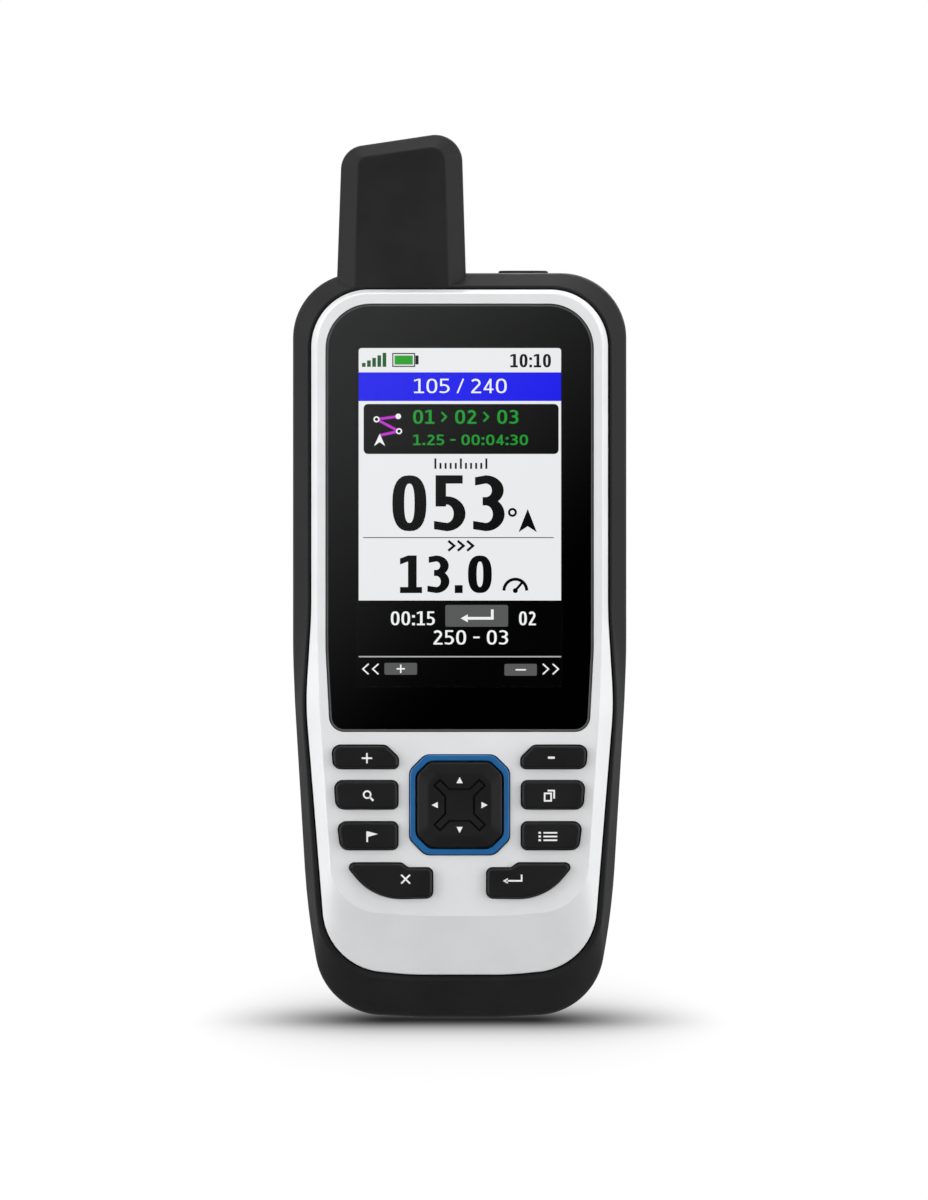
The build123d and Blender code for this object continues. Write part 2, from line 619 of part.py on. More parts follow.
BRACKET_Z = BRACKET_SCREWS[0][1]
FOOT_LEVEL = BACK_INNER + 2.9
with BuildPart() as battery_bracket:
    with BuildSketch(Plane.XY.offset(BRACKET_Z - 8)):
        with Locations((0, -(BATTERY_FRONT + FOOT_LEVEL) / 2 - 0.5)):
            Rectangle(41, BATTERY_FRONT - FOOT_LEVEL + 1)
            Rectangle(39, BATTERY_FRONT - FOOT_LEVEL + 3, mode=Mode.SUBTRACT)
        with Locations((0, -BATTERY_FRONT - 0.55)):
            Rectangle(41, 0.9)
        with Locations((22.2, -FOOT_LEVEL - 0.5), (-22.2, -FOOT_LEVEL - 0.5)):
            Rectangle(5.4, 1)
    extrude(amount=16)
    extrude(front_discs(FOOT_LEVEL - 1, both_sides(BRACKET_SCREWS), 1.1), amount=4, mode=Mode.SUBTRACT)
save(battery_bracket.part, "battery_bracket")

with BuildPart() as bracket_screws:
    extrude(front_discs(FOOT_LEVEL + 1, both_sides(BRACKET_SCREWS), 1.7), amount=1.1)
    extrude(front_discs(FOOT_LEVEL + 1, both_sides(BRACKET_SCREWS), 0.85), amount=-3.1)
save(bracket_screws.part, "bracket_screws")


def lead(points, radius, bend):
    """A thin insulated lead through points, rounded at each bend."""
    with BuildPart() as wire:
        with BuildLine() as path:
            FilletPolyline(*points, radius=bend)
        with BuildSketch(Plane(path.line @ 0, z_dir=path.line % 0)):
            Circle(radius)
        sweep()
    return wire.part


PLUG_Z = 127
with BuildPart() as battery_lead:
    for x in (-9, -6):
        add(lead([(x, -6, BATTERY_HIGH), (x, -6, PLUG_Z), (x, -9.4, PLUG_Z)], 0.6, 1.6))
    with BuildSketch(Plane.XZ.offset(9.2)):
        with Locations((-10.5, PLUG_Z)):
            Rectangle(4.6, 3.4)
    extrude(amount=BOARD_BACK - 9.2)
save(battery_lead.part, "battery_lead")


# ---- antenna ------------------------------------------------------------------------------
ANTENNA_REAR = -1.8
ANTENNA_MIDDLE = 1.0
ANTENNA_WALL = 2.0
with BuildPart() as antenna_cover:
    loft([outline(LIP_FACE, ANTENNA_FLAT), outline(ANTENNA_SHOULDER, ANTENNA_EDGE),
          outline(ANTENNA_MIDDLE, ANTENNA_EDGE), outline(ANTENNA_REAR, ANTENNA_BACK)], ruled=True)
    fillet(at_depth(antenna_cover.part, LIP_FACE).filter_by(Axis.X, reverse=True), 0.8)
    fillet(at_depth(antenna_cover.part, ANTENNA_SHOULDER).filter_by(Axis.X, reverse=True), 1.6)
    extrude(offset(outline(ANTENNA_MIDDLE, ANTENNA_EDGE), amount=-ANTENNA_WALL, mode=Mode.PRIVATE),
            amount=ANTENNA_SHOULDER - ANTENNA_MIDDLE + 0.4, mode=Mode.SUBTRACT)
    # bosses for the antenna screws
    with BuildSketch(Plane.XY.offset(BODY_TOP)):
        with Locations(*[(x, -HELIX_DEPTH) for x in ANTENNA_SCREW_X]):
            Circle(1.9)
        with Locations((-21.8, -HELIX_DEPTH), (-1.7, -HELIX_DEPTH)):
            Rectangle(2.4, 3.8)
    extrude(amount=7)
    with BuildSketch(Plane.XY.offset(BODY_TOP)):
        with Locations(*[(x, -HELIX_DEPTH) for x in ANTENNA_SCREW_X]):
            Circle(1.0)
    extrude(amount=6, mode=Mode.SUBTRACT)
    add(envelope.part, mode=Mode.SUBTRACT)
save(antenna_cover.part, "antenna_cover")

BOARD_SEAT = BODY_TOP + SEAT_HEIGHT
with BuildPart() as antenna_seal:
    with BuildSketch(Plane.XY.offset(BOARD_SEAT - 0.5)):
        with Locations((HELIX_X, -HELIX_DEPTH)):
            Circle(4.2)
            Circle(3, mode=Mode.SUBTRACT)
    extrude(amount=0.5)
save(antenna_seal.part, "antenna_seal")

with BuildPart() as antenna_board:
    with BuildSketch(Plane.XY.offset(BOARD_SEAT)):
        with Locations((HELIX_X, -HELIX_DEPTH)):
            RectangleRounded(*ANTENNA_SEAT, 1)
            Circle(0.8, mode=Mode.SUBTRACT)
    extrude(amount=1)
save(antenna_board.part, "antenna_board")

ELEMENT_RADIUS = 5
ELEMENT_HEIGHT = 18
with BuildPart() as antenna_element:
    with BuildSketch(Plane.XY.offset(BOARD_SEAT + 1)):
        with Locations((HELIX_X, -HELIX_DEPTH)):
            Circle(ELEMENT_RADIUS)
            Circle(ELEMENT_RADIUS - 2, mode=Mode.SUBTRACT)
    extrude(amount=ELEMENT_HEIGHT)
    with BuildSketch(Plane.XY.offset(BOARD_SEAT + 1 + ELEMENT_HEIGHT)):
        with Locations((HELIX_X, -HELIX_DEPTH)):
            Circle(ELEMENT_RADIUS)
    extrude(amount=0.8)
save(antenna_element.part, "antenna_element")

COAX_PLUG_Z = 139
COAX_PLUG_BACK = 11
with BuildPart() as antenna_coax:
    add(lead([(HELIX_X, -HELIX_DEPTH, BOARD_SEAT), (HELIX_X, -HELIX_DEPTH, COAX_PLUG_Z),
              (HELIX_X, -COAX_PLUG_BACK, COAX_PLUG_Z)], COAX_RADIUS, 2.2))
    extrude(front_discs(COAX_PLUG_BACK, [(HELIX_X, COAX_PLUG_Z)], 1.3), amount=BOARD_BACK - COAX_PLUG_BACK)
save(antenna_coax.part, "antenna_coax")

with BuildPart() as antenna_screws:
    for x in ANTENNA_SCREW_X:
        with BuildSketch(Plane.XY.offset(BODY_TOP - WALL - 1.2)):
            with Locations((x, -HELIX_DEPTH)):
                Circle(1.9)
        extrude(amount=1.2)
        with BuildSketch(Plane.XY.offset(BODY_TOP - WALL)):
            with Locations((x, -HELIX_DEPTH)):
                Circle(0.95)
        extrude(amount=7)
save(antenna_screws.part, "antenna_screws")


# ---- power button -------------------------------------------------------------------------
def top_stadium(level, height, width, depth, radius):
    """A rounded block under the power button's centre, from a height upwards."""
    with BuildPart() as block:
        with BuildSketch(Plane.XY.offset(level)):
            with Locations((POWER_X, -POWER_DEPTH)):
                RectangleRounded(width, depth, radius)
        extrude(amount=height)
    return block.part


BUTTON_SIZE = (10.1, 5.2)
BUTTON_PROUD = 0.7
with BuildPart() as power_button_seal:
    add(top_stadium(BODY_TOP - WALL, WALL + 0.2, *POWER_HOLE, POWER_HOLE_RADIUS))
    add(top_stadium(BODY_TOP - WALL, WALL + 1, BUTTON_SIZE[0] + 0.4, BUTTON_SIZE[1] + 0.4, 2.1),
        mode=Mode.SUBTRACT)
save(power_button_seal.part, "power_button_seal")

with BuildPart() as power_button:
    add(top_stadium(BODY_TOP - WALL - 0.5, WALL + 0.5 + BUTTON_PROUD, *BUTTON_SIZE, 1.9))
    fillet(power_button.part.edges().group_by(Axis.Z)[-1], 0.3)
    add(top_stadium(BODY_TOP - WALL - 0.7, 0.5, POWER_HOLE[0] + 0.3, POWER_HOLE[1] + 0.3, 2.4))
save(power_button.part, "power_button")

SWITCH_BODY = 1.7
SWITCH_BOARD = 1.0
SWITCH_TIP = BODY_TOP - WALL - 0.7 - POWER_TRAVEL - 0.05
with BuildPart() as power_switch:
    add(top_stadium(POWER_POST_LOW, SWITCH_BODY, 6, 6, 0.5))
    add(top_stadium(POWER_POST_LOW + SWITCH_BODY, SWITCH_TIP - POWER_POST_LOW - SWITCH_BODY, 3, 3, 1.4))
save(power_switch.part, "power_switch")

with BuildPart() as power_switch_board:
    add(top_stadium(POWER_POST_LOW - SWITCH_BOARD, SWITCH_BOARD, 2 * POWER_POST_REACH + 2.4, 7.6, 1))
save(power_switch_board.part, "power_switch_board")


# ---- port, its board and its door ---------------------------------------------------------
CONNECTOR_FACE = -7.4
save(plate(WELL_INNER, 1.0, 17, 12, PORT_Z, 1), "usb_board")

with BuildPart() as usb_connector:
    with BuildSketch(Plane.XZ.offset(CONNECTOR_FACE)):
        with Locations((0, PORT_Z)):
            RectangleRounded(9, 3.3, 1.4)
    extrude(amount=WELL_INNER - CONNECTOR_FACE)
    with BuildSketch(Plane.XZ.offset(CONNECTOR_FACE)):
        with Locations((0, PORT_Z)):
            RectangleRounded(8.2, 2.5, 1.1)
            Rectangle(6.6, 0.7, mode=Mode.SUBTRACT)
    extrude(amount=4, mode=Mode.SUBTRACT)
save(usb_connector.part, "usb_connector")

with BuildPart() as usb_flex:
    with BuildSketch(Plane.YZ.offset(-3)):
        Polygon((2, 39), (2, 30.0), (-10.2, 30.0), (-10.2, 30.3), (1.7, 30.3), (1.7, 39), align=None)
    extrude(amount=6)
save(usb_flex.part, "usb_flex")

DOOR_FRONT = BACK_FACE + DOOR_THICK
with BuildPart() as port_door:
    with BuildSketch(Plane.XZ.offset(BACK_FACE)):
        with Locations((0, (DOOR_LOW + DOOR_PIN_Z) / 2)):
            RectangleRounded(DOOR_WIDTH, DOOR_PIN_Z - DOOR_LOW, 0.8)
    extrude(amount=DOOR_THICK)
    fillet(at_depth(port_door.part, BACK_FACE), 0.5)
    with BuildSketch(Plane.XZ.offset(BACK_FACE + 0.7)):
        with Locations((0, DOOR_LOW)):
            SlotOverall(7.6, 1.2)
    extrude(amount=0.8)
    with BuildSketch(Plane.YZ.offset(-DOOR_WIDTH / 2)):
        with Locations((-DOOR_PIN_DEPTH, DOOR_PIN_Z)):
            Circle(1.3)
    extrude(amount=DOOR_WIDTH)
    with BuildSketch(Plane.YZ.offset(-DOOR_WIDTH / 2)):
        with Locations((-DOOR_PIN_DEPTH, DOOR_PIN_Z)):
            Circle(0.6)
    extrude(amount=DOOR_WIDTH, mode=Mode.SUBTRACT)
save(port_door.part, "port_door")

with BuildPart() as port_door_seal:
    with BuildSketch(Plane.XZ.offset(DOOR_FRONT)):
        with Locations((0, PORT_Z)):
            RectangleRounded(WELL[0] - 0.7, WELL[1] - 0.7, 0.8)
            RectangleRounded(WELL[0] - 3, WELL[1] - 3, 0.4, mode=Mode.SUBTRACT)
    extrude(amount=1.3)
save(port_door_seal.part, "port_door_seal")

with BuildPart() as port_door_pin:
    with BuildSketch(Plane.YZ.offset(-DOOR_WIDTH / 2 - 1.8)):
        with Locations((-DOOR_PIN_DEPTH, DOOR_PIN_Z)):
            Circle(0.55)
    extrude(amount=DOOR_WIDTH + 3.6)
save(port_door_pin.part, "port_door_pin")


# ---- fasteners, breather, rail and lanyard eye --------------------------------------------
with BuildPart() as threaded_inserts:
    with BuildSketch(Plane.XZ.offset(PARTING)):
        with Locations(*both_sides(CASE_SCREWS)):
            Circle(INSERT_RADIUS)
            Circle(1.25, mode=Mode.SUBTRACT)
    extrude(amount=INSERT_LENGTH)
save(threaded_inserts.part, "threaded_inserts")

with BuildPart() as housing_screws:
    extrude(front_discs(HEAD_FRONT, both_sides(CASE_SCREWS), HEAD_RADIUS), amount=-2.2)
    extrude(front_discs(HEAD_FRONT, both_sides(CASE_SCREWS), 1.2), amount=15)
    with BuildSketch(Plane.XZ.offset(HEAD_FRONT - 2.2)):
        with Locations(*both_sides(CASE_SCREWS)):
            RegularPolygon(1.2, 6)
    extrude(amount=1.2, mode=Mode.SUBTRACT)
save(housing_screws.part, "housing_screws")

with BuildPart() as vent_membrane:
    extrude(front_discs(BACK_INNER, [(-16, 32)], 2.6), amount=0.3)
save(vent_membrane.part, "vent_membrane")

RAIL_LOW = 62
RAIL_HIGH = 128
RAIL_WIDTH = 16
RAIL_NECK = 10
with BuildPart() as mount_rail:
    with BuildSketch(Plane.XZ.offset(BACK_FACE)):
        with Locations((0, (RAIL_LOW + RAIL_HIGH) / 2)):
            RectangleRounded(14, RAIL_HIGH - RAIL_LOW, 2)
    extrude(amount=-2.2)
    with BuildSketch(Plane.XZ.offset(BACK_FACE - 2)):
        with Locations((0, (RAIL_LOW + RAIL_HIGH) / 2)):
            RectangleRounded(RAIL_NECK, RAIL_HIGH - RAIL_LOW, 2)
    extrude(amount=RAIL_FACE - BACK_FACE + 4)
    with BuildSketch(Plane.XZ.offset(RAIL_FACE + 2.3)):
        with Locations((0, (RAIL_LOW + RAIL_HIGH) / 2)):
            RectangleRounded(RAIL_WIDTH, RAIL_HIGH - RAIL_LOW, 2)
    extrude(amount=-2.3)
    chamfer(at_depth(mount_rail.part, RAIL_FACE), 0.5)
    extrude(front_discs(RAIL_FACE, [(0, z) for z in RAIL_SCREW_Z], 2.4), amount=3, mode=Mode.SUBTRACT)
    extrude(front_discs(RAIL_FACE, [(0, z) for z in RAIL_SCREW_Z], 1.3), amount=8, mode=Mode.SUBTRACT)
save(mount_rail.part, "mount_rail")

with BuildPart() as rail_screws:
    rail_places = [(0, z) for z in RAIL_SCREW_Z]
    extrude(front_discs(RAIL_FACE + 3, rail_places, 2.2), amount=-1.8)
    extrude(front_discs(RAIL_FACE + 3, rail_places, 1.2), amount=7.6)
    with BuildSketch(Plane.XZ.offset(RAIL_FACE + 1.2)):
        with Locations(*rail_places):
            RegularPolygon(1.2, 6)
    extrude(amount=1, mode=Mode.SUBTRACT)
save(rail_screws.part, "rail_screws")

with BuildPart() as lanyard_eye:
    with BuildSketch(Plane.XZ.offset(BACK_FACE + 1)):
        with Locations((0, EYE_Z)):
            RectangleRounded(6.2, 9.2, 1)
    extrude(amount=-1.5)
    with BuildSketch(Plane.YZ.offset(-2.4)):
        with Locations((-EYE_DEPTH, EYE_Z)):
            Circle(EYE_RADIUS + 1.4)
        with Locations(((-EYE_DEPTH - BACK_FACE) / 2, EYE_Z)):
            Rectangle(BACK_FACE - EYE_DEPTH, 2 * EYE_RADIUS + 2.8)
    extrude(amount=4.8)
    with BuildSketch(Plane.YZ.offset(-4)):
        with Locations((-EYE_DEPTH, EYE_Z)):
            Circle(EYE_RADIUS)
    extrude(amount=8, mode=Mode.SUBTRACT)
save(lanyard_eye.part, "lanyard_eye")
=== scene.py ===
import json
import math

import bmesh
import bpy
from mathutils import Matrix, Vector
from mathutils.geometry import tessellate_polygon


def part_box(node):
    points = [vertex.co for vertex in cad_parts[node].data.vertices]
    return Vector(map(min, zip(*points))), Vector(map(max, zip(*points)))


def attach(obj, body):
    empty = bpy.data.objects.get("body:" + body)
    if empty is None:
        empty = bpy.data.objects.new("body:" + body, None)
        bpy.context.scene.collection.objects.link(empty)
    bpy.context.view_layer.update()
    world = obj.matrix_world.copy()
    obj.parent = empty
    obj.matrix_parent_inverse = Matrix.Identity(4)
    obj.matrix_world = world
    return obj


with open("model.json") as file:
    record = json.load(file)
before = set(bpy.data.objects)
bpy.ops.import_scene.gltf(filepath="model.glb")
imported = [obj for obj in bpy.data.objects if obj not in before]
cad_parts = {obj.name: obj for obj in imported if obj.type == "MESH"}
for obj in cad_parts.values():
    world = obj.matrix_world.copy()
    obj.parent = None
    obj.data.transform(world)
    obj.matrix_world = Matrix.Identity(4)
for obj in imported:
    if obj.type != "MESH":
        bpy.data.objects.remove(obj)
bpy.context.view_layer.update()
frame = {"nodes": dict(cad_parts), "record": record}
MM = 0.001
NODES = frame["nodes"]


def edge(node, axis, side):
    """One face of a CAD node's box in millimetres: side 0 is the low one, 1 the high one."""
    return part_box(node)[side][axis] / MM


def depth_of(node):
    """How far forward a CAD node's front face stands, in millimetres."""
    return -edge(node, 1, 0)


# ---- camera, world and lights ---------------------------------------------------------------
CAMERA_DISTANCE = 1.6
VIEW_CENTRE = Vector((0.88 * MM, 0, 84.8 * MM))
VIEW_HEIGHT = 242.3 * MM
SENSOR = 24
FRONT_GLOW = 0.22
SIDE_GLOW = 0.78
REFLECTOR = 0.98
OBJECT_CENTRE = (0, 0, 0.09)

camera_data = bpy.data.cameras.new("camera")
camera_data.sensor_fit = "VERTICAL"
camera_data.sensor_height = SENSOR
camera_data.lens = SENSOR * (CAMERA_DISTANCE - 0.02) / VIEW_HEIGHT
camera_data.clip_start = 0.05
camera_data.clip_end = 30
camera = bpy.data.objects.new("camera", camera_data)
camera.location = VIEW_CENTRE + Vector((0, -CAMERA_DISTANCE, 0))
camera.rotation_euler = (math.pi / 2, 0, 0)
bpy.context.scene.collection.objects.link(camera)
bpy.context.scene.camera = camera
bpy.context.scene.view_settings.view_transform = "Standard"


def node(tree, kind, **inputs):
    """Add a shader node and set its inputs by name, with underscores for spaces."""
    new = tree.nodes.new(kind)
    for key, value in inputs.items():
        new.inputs[key.replace("_", " ")].default_value = value
    return new


def math_node(tree, operation, first, second):
    """One arithmetic step between sockets or numbers."""
    step = tree.nodes.new("ShaderNodeMath")
    step.operation = operation
    for socket, value in zip(step.inputs, (first, second)):
        if isinstance(value, (int, float)):
            socket.default_value = value
        else:
            tree.links.new(value, socket)
    return step.outputs[0]


def spread(tree, value, start, end, low, high):
    """Move a value smoothly from one range to another."""
    step = tree.nodes.new("ShaderNodeMapRange")
    step.interpolation_type = "SMOOTHSTEP"
    for name, number in (("From Min", start), ("From Max", end), ("To Min", low), ("To Max", high)):
        step.inputs[name].default_value = number
    tree.links.new(value, step.inputs["Value"])
    return step.outputs["Result"]


def studio_world():
    """Pale studio, white to look at. As light it is bright at the sides, and dim in front and below.

    Straight in front hangs a broad grey reflector, up and to the left, which the window mirrors.
    """
    world = bpy.data.worlds.new("studio")
    bpy.context.scene.world = world
    world.use_nodes = True
    tree = world.node_tree
    tree.nodes.clear()
    output = tree.nodes.new("ShaderNodeOutputWorld")
    coordinates = tree.nodes.new("ShaderNodeTexCoord")
    split = tree.nodes.new("ShaderNodeSeparateXYZ")
    tree.links.new(coordinates.outputs["Generated"], split.inputs[0])
    across, away, up = split.outputs
    sides = spread(tree, away, -1.0, -0.25, FRONT_GLOW, SIDE_GLOW)
    height = spread(tree, up, -0.7, 0.25, 0.5, 1.0)
    upward_left = math_node(tree, "SUBTRACT", up, across)
    reflector = spread(tree, upward_left, -0.012, 0.062, 0.01, REFLECTOR)
    in_front = spread(tree, away, -0.999, -0.97, 1.0, 0.0)
    glow = math_node(tree, "MULTIPLY", sides, height)
    mirrored = math_node(tree, "MULTIPLY", reflector, in_front)
    beside = math_node(tree, "MULTIPLY", glow, math_node(tree, "SUBTRACT", 1.0, in_front))
    lighting = node(tree, "ShaderNodeBackground", Color=(0.98, 0.99, 1, 1))
    tree.links.new(math_node(tree, "ADD", mirrored, beside), lighting.inputs["Strength"])
    backdrop = node(tree, "ShaderNodeBackground", Color=(1, 1, 1, 1), Strength=1.0)
    rays = tree.nodes.new("ShaderNodeLightPath")
    mix = tree.nodes.new("ShaderNodeMixShader")
    tree.links.new(rays.outputs["Is Camera Ray"], mix.inputs[0])
    tree.links.new(lighting.outputs[0], mix.inputs[1])
    tree.links.new(backdrop.outputs[0], mix.inputs[2])
    tree.links.new(mix.outputs[0], output.inputs["Surface"])


def softbox(name, place, width, height, power):
    """A rectangular studio light that points at the object."""
    data = bpy.data.lights.new(name, "AREA")
    data.shape = "RECTANGLE"
    data.size = width
    data.size_y = height
    data.energy = power
    light = bpy.data.objects.new(name, data)
    light.location = place
    light.rotation_euler = (Vector(OBJECT_CENTRE) - Vector(place)).to_track_quat("-Z", "Y").to_euler()
    light.visible_camera = False
    bpy.context.scene.collection.objects.link(light)


studio_world()
softbox("left_box", (-0.95, -0.35, 0.25), 0.5, 1.1, 6.8)
softbox("right_box", (0.95, -0.35, 0.25), 0.5, 1.1, 6.8)
softbox("low_box", (0, -1.1, -0.6), 0.9, 0.5, 0.2)
softbox("top_box", (0, -0.1, 1.1), 0.8, 0.5, 5)
softbox("front_left_box", (-1.0, -1.2, 0.12), 0.7, 1.0, 4.0)
softbox("front_right_box", (1.0, -1.2, 0.12), 0.7, 1.0, 3.6)
softbox("back_box", (0.3, 1.1, 0.7), 0.8, 0.8, 7)


# ---- materials ------------------------------------------------------------------------------
def shader(name):
    """An empty material with a Principled shader; returns the material, its tree and the shader."""
    made = bpy.data.materials.new(name)
    made.use_nodes = True
    tree = made.node_tree
    return made, tree, tree.nodes["Principled BSDF"]


def noise(tree, size_mm, detail=2.0, stretch=(1, 1, 1), distortion=0.0):
    """Noise with grains of about this size, laid through the object's own space."""
    coordinates = tree.nodes.new("ShaderNodeTexCoord")
    scale = tree.nodes.new("ShaderNodeMapping")
    scale.inputs["Scale"].default_value = stretch
    grain = node(tree, "ShaderNodeTexNoise", Scale=1.0 / (size_mm * MM), Detail=detail, Distortion=distortion)
    tree.links.new(coordinates.outputs["Object"], scale.inputs["Vector"])
    tree.links.new(scale.outputs[0], grain.inputs["Vector"])
    return grain.outputs[0]


def remap(tree, value, low, high, start=0.3, end=0.7):
    """Spread a noise value between two limits."""
    step = node(tree, "ShaderNodeMapRange")
    step.inputs["From Min"].default_value = start
    step.inputs["From Max"].default_value = end
    step.inputs["To Min"].default_value = low
    step.inputs["To Max"].default_value = high
    tree.links.new(value, step.inputs["Value"])
    return step.outputs["Result"]


def tint(tree, value, dark, light, start=0.35, end=0.65):
    """Colour between two tones by a noise value."""
    ramp = tree.nodes.new("ShaderNodeValToRGB")
    ramp.color_ramp.elements[0].position = start
    ramp.color_ramp.elements[0].color = (*dark, 1)
    ramp.color_ramp.elements[1].position = end
    ramp.color_ramp.elements[1].color = (*light, 1)
    tree.links.new(value, ramp.inputs[0])
    return ramp.outputs[0]


def bump(tree, surface, value, height_mm, strength=1.0):
    """Raise the surface by a noise value."""
    relief = node(tree, "ShaderNodeBump", Strength=strength, Distance=height_mm * MM)
    tree.links.new(value, relief.inputs["Height"])
    tree.links.new(relief.outputs[0], surface.inputs["Normal"])
    return relief


def moulded(name, colour, roughness, grain_mm=0.25, relief_mm=0.01, drift=0.12, coat=0.0, specular=0.5):
    """Moulded plastic or rubber: a fine etched grain, and slow drifts in tone and gloss."""
    made, tree, surface = shader(name)
    slow = noise(tree, 9.0, 3.0)
    fine = noise(tree, grain_mm, 2.0)
    dark = tuple(c * (1 - drift) for c in colour)
    light = tuple(min(1.0, c * (1 + drift)) for c in colour)
    tree.links.new(tint(tree, slow, dark, light), surface.inputs["Base Color"])
    tree.links.new(remap(tree, slow, roughness * 0.88, roughness * 1.12), surface.inputs["Roughness"])
    bump(tree, surface, fine, relief_mm)
    surface.inputs["Coat Weight"].default_value = coat
    surface.inputs["Coat Roughness"].default_value = 0.12
    surface.inputs["Specular IOR Level"].default_value = specular
    return made


def metal(name, colour, roughness, stretch=(1, 1, 0.08), grain_mm=0.12):
    """Turned or rolled metal, its grain drawn out one way."""
    made, tree, surface = shader(name)
    lines = noise(tree, grain_mm, 3.0, stretch)
    dark = tuple(c * 0.82 for c in colour)
    tree.links.new(tint(tree, lines, dark, colour), surface.inputs["Base Color"])
    tree.links.new(remap(tree, lines, roughness * 0.8, roughness * 1.3), surface.inputs["Roughness"])
    bump(tree, surface, lines, 0.004)
    surface.inputs["Metallic"].default_value = 1.0
    return made


def board_material(name):
    """Circuit board: green mask over lighter copper runs, with small gilt pads."""
    made, tree, surface = shader(name)
    coordinates = tree.nodes.new("ShaderNodeTexCoord")
    runs = node(tree, "ShaderNodeTexBrick", Scale=420.0, Mortar_Size=0.06)
    runs.inputs["Color1"].default_value = (0.012, 0.12, 0.05, 1)
    runs.inputs["Color2"].default_value = (0.016, 0.15, 0.06, 1)
    runs.inputs["Mortar"].default_value = (0.05, 0.28, 0.11, 1)
    tree.links.new(coordinates.outputs["Object"], runs.inputs["Vector"])
    pads = node(tree, "ShaderNodeTexVoronoi", Scale=320.0, Randomness=0.6)
    tree.links.new(coordinates.outputs["Object"], pads.inputs["Vector"])
    on_pad = remap(tree, pads.outputs["Distance"], 1.0, 0.0, 0.12, 0.16)
    mix = tree.nodes.new("ShaderNodeMixRGB")
    mix.inputs[2].default_value = (0.75, 0.52, 0.18, 1)
    tree.links.new(on_pad, mix.inputs[0])
    tree.links.new(runs.outputs["Color"], mix.inputs[1])
    tree.links.new(mix.outputs[0], surface.inputs["Base Color"])
    tree.links.new(on_pad, surface.inputs["Metallic"])
    tree.links.new(remap(tree, noise(tree, 1.5), 0.3, 0.45), surface.inputs["Roughness"])
    return made


def film_material(name):
    """Amber flex film over fine parallel copper lines."""
    made, tree, surface = shader(name)
    coordinates = tree.nodes.new("ShaderNodeTexCoord")
    lines = node(tree, "ShaderNodeTexWave", Scale=500.0)
    lines.bands_direction = "X"
    tree.links.new(coordinates.outputs["Object"], lines.inputs["Vector"])
    tree.links.new(tint(tree, lines.outputs[0], (0.30, 0.11, 0.015), (0.62, 0.30, 0.08)),
                   surface.inputs["Base Color"])
    tree.links.new(remap(tree, noise(tree, 3.0), 0.25, 0.4), surface.inputs["Roughness"])
    return made


def window_material(name, ior=1.46):
    """Hard clear window with the faintest drift in its polish."""
    made, tree, surface = shader(name)
    surface.inputs["Base Color"].default_value = (0.96, 0.97, 0.98, 1)
    surface.inputs["Transmission Weight"].default_value = 1.0
    surface.inputs["IOR"].default_value = ior
    tree.links.new(remap(tree, noise(tree, 14.0), 0.0, 0.03), surface.inputs["Roughness"])
    return made


def lit(name, colour, strength=1.08):
    """One colour of the lit display, with the faint cell pattern of its pixels."""
    made, tree, surface = shader(name)
    coordinates = tree.nodes.new("ShaderNodeTexCoord")
    cells = node(tree, "ShaderNodeTexBrick", Scale=1000.0, Mortar_Size=0.015)
    cells.offset = 0
    cells.inputs["Color1"].default_value = (*colour, 1)
    cells.inputs["Color2"].default_value = (*[c * 0.985 for c in colour], 1)
    cells.inputs["Mortar"].default_value = (*[c * 0.93 for c in colour], 1)
    tree.links.new(coordinates.outputs["Object"], cells.inputs["Vector"])
    tree.links.new(cells.outputs["Color"], surface.inputs["Emission Color"])
    surface.inputs["Emission Strength"].default_value = strength
    surface.inputs["Base Color"].default_value = (0, 0, 0, 1)
    surface.inputs["Roughness"].default_value = 0.6
    surface.inputs["Specular IOR Level"].default_value = 0.0
    return made


SLOT_MATERIALS = {
    "black_housing": moulded("black_housing", (0.0155, 0.0155, 0.0158), 0.52, 0.22, 0.010, specular=0.12),
    "black_rubber": moulded("black_rubber", (0.016, 0.016, 0.016), 0.60, 0.15, 0.008, specular=0.3),
    "key_rubber": moulded("key_rubber", (0.0065, 0.0065, 0.007), 0.48, 0.12, 0.005, specular=0.2),
    "grey_silicone": moulded("grey_silicone", (0.20, 0.20, 0.21), 0.55, 0.3, 0.006),
    "white_plastic": moulded("white_plastic", (0.765, 0.768, 0.772), 0.34, 0.18, 0.003, 0.02, coat=0.2),
    "window_glass": window_material("window_glass"),
    "black_mask": moulded("black_mask", (0.0025, 0.0025, 0.003), 0.35, 0.5, 0.001),
    "lcd_glass": moulded("lcd_glass", (0.002, 0.002, 0.0025), 0.3, 0.5, 0.0005, specular=0.03),
    "light_guide": moulded("light_guide", (0.8, 0.8, 0.8), 0.25, 0.4, 0.002, 0.03),
    "steel": metal("steel", (0.60, 0.60, 0.61), 0.30),
    "flex_film": film_material("flex_film"),
    "blue_anodised": moulded("blue_anodised", (0.002, 0.108, 0.31), 0.36, 0.2, 0.003, 0.08, coat=0.15),
    "nylon": moulded("nylon", (0.62, 0.61, 0.57), 0.5, 0.3, 0.006, 0.05),
    "dark_plastic": moulded("dark_plastic", (0.03, 0.03, 0.03), 0.4, 0.3, 0.004),
    "circuit_board": board_material("circuit_board"),
    "battery_wrap": moulded("battery_wrap", (0.03, 0.15, 0.33), 0.28, 3.0, 0.02, 0.08),
    "lead_insulation": moulded("lead_insulation", (0.35, 0.025, 0.02), 0.4, 0.4, 0.004),
    "antenna_ceramic": moulded("antenna_ceramic", (0.72, 0.68, 0.60), 0.45, 0.3, 0.004, 0.05),
    "brass": metal("brass", (0.78, 0.56, 0.22), 0.32),
}
for entry in frame["record"]["subparts"]:
    mesh = NODES[entry["node"]].data
    mesh.materials.clear()
    mesh.materials.append(SLOT_MATERIALS[entry["material_slot"]])

